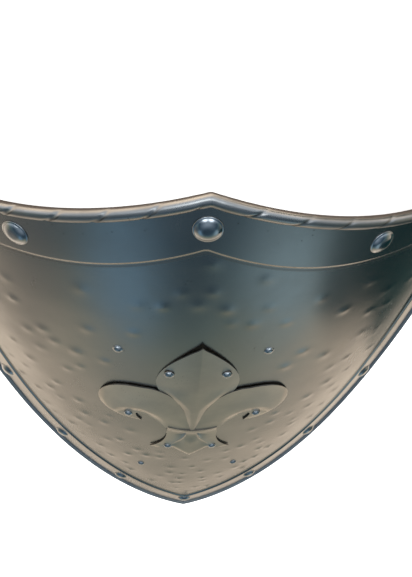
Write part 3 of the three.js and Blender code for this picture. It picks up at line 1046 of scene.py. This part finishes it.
def makeLeatherLoop(strap, points):
    half, thick = strap["width"] / 2, strap["thickness"] / 2
    outline = strapOutline(half, thick)
    across = Vector((0, 1, 0))

    def place(column, row):
        ahead = points[min(row + 1, strapSteps)] - points[max(row - 1, 0)]
        out = ahead.cross(across).normalized()
        side, height = outline[column % len(outline)]
        fromEnd = min(row, strapSteps - row) * 90 / strapSteps * 2
        rounding = (half - min(fromEnd, half)) / half
        taper = math.sqrt(max(0, 1 - rounding**2 * 0.75)) if fromEnd < half else 1
        groove = stitch["groove"] * math.exp(-((abs(side) - (half - stitch["inset"])) / 0.7) ** 2)
        pressed = math.copysign(groove, height) * (abs(height) > thick - 0.1)
        return points[row] + across * side * taper + out * (height - pressed)

    bm = gridMesh(len(outline), strapSteps, place)
    bmesh.ops.remove_doubles(bm, verts=bm.verts, dist=0.001)
    bmesh.ops.holes_fill(bm, edges=[e for e in bm.edges if e.is_boundary], sides=0)
    bmesh.ops.recalc_face_normals(bm, faces=bm.faces)
    finishPiece(bm, strap["name"] + "_leather", strapLeather, [strap["name"]], sharp=50)


# Two rows of stitches, each seen on both faces of the strap
def makeStitching(strap, points):
    half, thick = strap["width"] / 2, strap["thickness"] / 2
    across = Vector((0, 1, 0))
    size = (stitch["length"] / 2, stitch["radius"], stitch["radius"])
    threads = []
    travelled = 0.0
    for i in range(8, strapSteps - 8):
        travelled += (points[i + 1] - points[i]).length
        if travelled < stitch["pitch"]:
            continue
        travelled = 0.0
        ahead = (points[i + 1] - points[i]).normalized()
        out = ahead.cross(across).normalized()
        for side in (-1, 1):
            for facing in (-1, 1):
                bm = bmesh.new()
                bmesh.ops.create_uvsphere(bm, u_segments=8, v_segments=6, radius=1)
                bmesh.ops.scale(bm, vec=size, verts=bm.verts)
                turn = Matrix((ahead, across, out)).transposed().to_4x4()
                at = points[i] + across * side * (half - stitch["inset"])
                at = at + out * facing * (thick - stitch["sunk"] + stitch["proud"])
                bm.transform(Matrix.Translation(at) @ turn)
                bmesh.ops.recalc_face_normals(bm, faces=bm.faces)
                threads.append(bm)
    finishPiece(joined(threads), strap["name"] + "_stitching", waxedThread, [strap["name"]])


def makeStrap(strap):
    path = strapPath(strap)
    points = [through(path, i / strapSteps) for i in range(strapSteps + 1)]
    makeLeatherLoop(strap, points)
    makeStitching(strap, points)


for strap in straps:
    makeStrap(strap)
print("straps fitted")


# Floor, light and the room that the steel reflects

room = dict(
    # elevation in degrees, colour: what the steel sees beyond the point, from the floor up
    bands=[
        (-30, (0.66, 0.56, 0.43)), (0, (0.57, 0.48, 0.38)), (10, (0.43, 0.39, 0.32)),
        (20, (0.26, 0.26, 0.2)), (30, (0.11, 0.155, 0.145)), (38, (0.08, 0.135, 0.165)),
        (48, (0.025, 0.05, 0.075)), (64, (0.1, 0.14, 0.18)), (82, (0.24, 0.3, 0.36)),
    ],
    # and beyond the top edge
    bandsBehind=[
        (-30, (0.9, 0.76, 0.6)), (0, (1.1, 0.95, 0.78)), (9, (1.05, 0.98, 0.9)),
        (20, (0.66, 0.72, 0.78)), (35, (0.42, 0.5, 0.58)), (55, (0.33, 0.4, 0.48)),
        (70, (0.2, 0.26, 0.32)), (82, (0.26, 0.32, 0.38)),
    ],
    # patches: bearing from the point of the shield, elevation, reach and blur in degrees, colour, share
    patches=[
        (38, 31, 12, 9, (0.27, 0.39, 0.46), 0.9),
        (-26, 36, 11, 8, (0.15, 0.26, 0.37), 0.85),
        (-3, 46, 10, 8, (0.02, 0.04, 0.06), 0.85),
        (-56, 25, 15, 10, (0.07, 0.09, 0.11), 0.9),
        (62, 28, 13, 9, (0.06, 0.085, 0.095), 0.9),
        (50, 15, 11, 2, (0.025, 0.048, 0.057), 1.0),
        (58, 2, 14, 4, (0.002, 0.022, 0.026), 1.0),
        (-48, 12, 10, 6, (0.15, 0.145, 0.135), 0.6),
        (152, 54, 13, 8, (2.0, 2.2, 2.35), 0.9),
        (-152, 54, 13, 8, (2.0, 2.2, 2.35), 0.9),
    ],
    soft=(0.95, 0.97, 1.0),
    floorColour=(0.88, 0.87, 0.85),
    floorGlow=0.7,
    # the floor's colours for glossy rays are painted reflections of the room: tan, a painted shadow around
    # the top edge, cream beyond it, and a dark teal patch far to the right
    floorInSteel=(0.51, 0.43, 0.345),
    floorShadowInSteel=(0.13, 0.1, 0.08),
    floorBehindInSteel=(0.8, 0.68, 0.54),
    floorFarRightReflection=(0.003, 0.028, 0.028),
    # where the floor's colours in the steel change over, in metres
    floorShadowFrom=(0.05, 0.3),
    behindFrom=(0.38, 0.52),
    farRightSlant=(0.66, 0.75),
    farRightFrom=(0.14, 0.18),
    farRightAcross=(0.24, 0.34),
)


def makeRoom():
    world = bpy.data.worlds.new("room")
    bpy.context.scene.world = world
    world.use_nodes = True
    tree = world.node_tree
    background = tree.nodes["Background"]
    place = addNode(tree, "ShaderNodeTexCoord").outputs["Generated"]
    direction = addNode(tree, "ShaderNodeVectorMath", {0: place}, operation="NORMALIZE").outputs[0]
    parts = addNode(tree, "ShaderNodeSeparateXYZ", {0: direction})
    elevation = maths(tree, "DEGREES", maths(tree, "ARCSINE", parts.outputs["Z"]))
    wholeSky = {"Value": elevation, "From Min": -90, "From Max": 90}
    level = addNode(tree, "ShaderNodeMapRange", wholeSky).outputs[0]

    def byHeight(bands):
        ramp = addNode(tree, "ShaderNodeValToRGB", {"Fac": level})
        stops = ramp.color_ramp.elements
        while len(stops) < len(bands):
            stops.new(0.5)
        for stop, (degrees, colour) in zip(stops, bands):
            stop.position = (degrees + 90) / 180
            stop.color = (*colour, 1)
        return ramp.outputs[0]

    back = ranged(tree, parts.outputs["Y"], 0.0, 0.5)
    colour = mixedColour(tree, back, byHeight(room["bands"]), byHeight(room["bandsBehind"]))
    for bearing, height, reach, blur, patch, share in room["patches"]:
        a, e = math.radians(bearing), math.radians(height)
        towards = (math.sin(a) * math.cos(e), -math.cos(a) * math.cos(e), math.sin(e))
        dot = addNode(tree, "ShaderNodeVectorMath", {0: direction, 1: towards}, operation="DOT_PRODUCT")
        angle = maths(tree, "DEGREES", maths(tree, "ARCCOSINE", dot.outputs["Value"]))
        mask = ranged(tree, angle, reach - blur, reach + blur, share, 0.0)
        colour = mixedColour(tree, mask, colour, patch)
    # Matt surfaces are lit by an even white, the camera sees white, and the rest see the room
    path = addNode(tree, "ShaderNodeLightPath")
    lit = mixedColour(tree, path.outputs["Is Diffuse Ray"], colour, room["soft"])
    final = mixedColour(tree, path.outputs["Is Camera Ray"], lit, (1, 1, 1))
    tree.links.new(final, background.inputs["Color"])


# In the steel the floor shows painted reflections of the room, with a painted shadow around the top edge and
# a painted dark teal patch far to the right, and it glows towards the camera to stay pale
def makeFloor():
    bm = bmesh.new()
    bmesh.ops.create_grid(bm, x_segments=1, y_segments=1, size=6)
    mesh = bpy.data.meshes.new("floor")
    bm.to_mesh(mesh)
    bm.free()
    floor = bpy.data.objects.new("floor", mesh)
    bpy.context.scene.collection.objects.link(floor)
    material = bpy.data.materials.new("pale floor")
    material.use_nodes = True
    tree = material.node_tree
    shader = tree.nodes["Principled BSDF"]
    place = addNode(tree, "ShaderNodeTexCoord").outputs["Object"]
    parts = addNode(tree, "ShaderNodeSeparateXYZ", {0: place})
    x, y = parts.outputs["X"], parts.outputs["Y"]
    # painted shadow in the steel's view of the floor, around the top edge
    byTop = ranged(tree, y, *room["floorShadowFrom"])
    near = mixedColour(tree, byTop, room["floorInSteel"], room["floorShadowInSteel"])
    inSteel = mixedColour(tree, ranged(tree, y, *room["behindFrom"]), near, room["floorBehindInSteel"])
    slantX, slantY = (maths(tree, "MULTIPLY", v, share) for v, share in zip((x, y), room["farRightSlant"]))
    beyond = ranged(tree, maths(tree, "ADD", slantX, slantY), *room["farRightFrom"])
    farRight = maths(tree, "MULTIPLY", beyond, ranged(tree, x, *room["farRightAcross"]))
    inSteel = mixedColour(tree, farRight, inSteel, room["floorFarRightReflection"])
    path = addNode(tree, "ShaderNodeLightPath")
    colour = mixedColour(tree, path.outputs["Is Glossy Ray"], room["floorColour"], inSteel)
    shader.inputs["Emission Color"].default_value = (1, 1, 1, 1)
    glow = maths(tree, "MULTIPLY", path.outputs["Is Camera Ray"], room["floorGlow"])
    tree.links.new(glow, shader.inputs["Emission Strength"])
    tree.links.new(colour, shader.inputs["Base Color"])
    shader.inputs["Roughness"].default_value = 0.9
    shader.inputs["Specular IOR Level"].default_value = 0.1
    mesh.materials.append(material)


def makeLamp(name, place, size, power, colour, glossy):
    data = bpy.data.lights.new(name, "AREA")
    data.shape = "DISK"
    data.size = size
    data.energy = power
    data.color = colour
    lamp = bpy.data.objects.new(name, data)
    bpy.context.scene.collection.objects.link(lamp)
    turn = Vector(place).to_track_quat("Z", "Y").to_matrix().to_4x4()
    lamp.matrix_world = Matrix.Translation(place) @ turn
    lamp.visible_glossy = glossy


makeRoom()
makeFloor()
makeLamp("overhead lamp", (0.3, 0.4, 3.2), 3.0, 60, (1, 0.99, 0.97), False)
makeLamp("side lamp", (0.4, 2.4, 1.5), 2.2, 45, (1, 0.99, 0.97), False)
bpy.context.scene.view_settings.view_transform = "Standard"
print("room lit")
